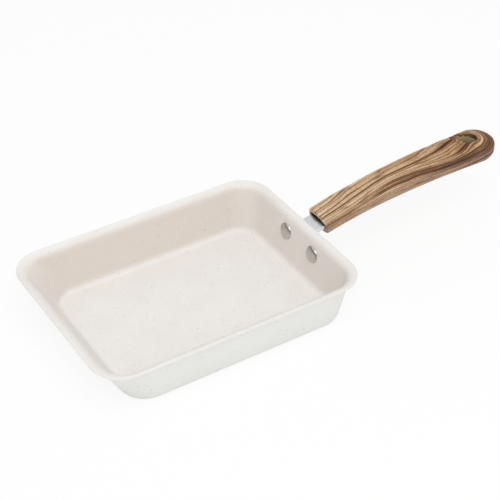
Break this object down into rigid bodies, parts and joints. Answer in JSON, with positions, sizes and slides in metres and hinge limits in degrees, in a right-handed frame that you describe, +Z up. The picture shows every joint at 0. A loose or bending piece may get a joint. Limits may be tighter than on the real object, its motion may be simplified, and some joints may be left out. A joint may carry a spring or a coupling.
{
  "type": "rectangular omelette pan",
  "caption": "Rectangular coated omelette pan with a flared lip, one sloped end wall, a riveted steel bracket and a curved wood-look handle with a hanging hole.",
  "frame": {"origin": "on the plane that the pan stands on, under the middle of the rim", "axes": "+X along the handle away from the pan, +Y across the pan, +Z up"},
  "size_m": [0.3438, 0.1398, 0.0585],
  "materials": {
    "speckled_coating": "satin",
    "stainless_sheet": "satin",
    "rivet_aluminium": "satin",
    "wood_print_bakelite": "satin",
    "plated_steel": "satin"
  },
  "bodies": {
    "root": {"pan_body": "speckled_coating", "handle_bracket": "stainless_sheet", "rivet_left": "rivet_aluminium", "rivet_right": "rivet_aluminium", "handle_grip": "wood_print_bakelite", "handle_screw": "plated_steel", "spring_washer": "plated_steel", "tang_nut": "plated_steel"}
  },
  "joints": []
}
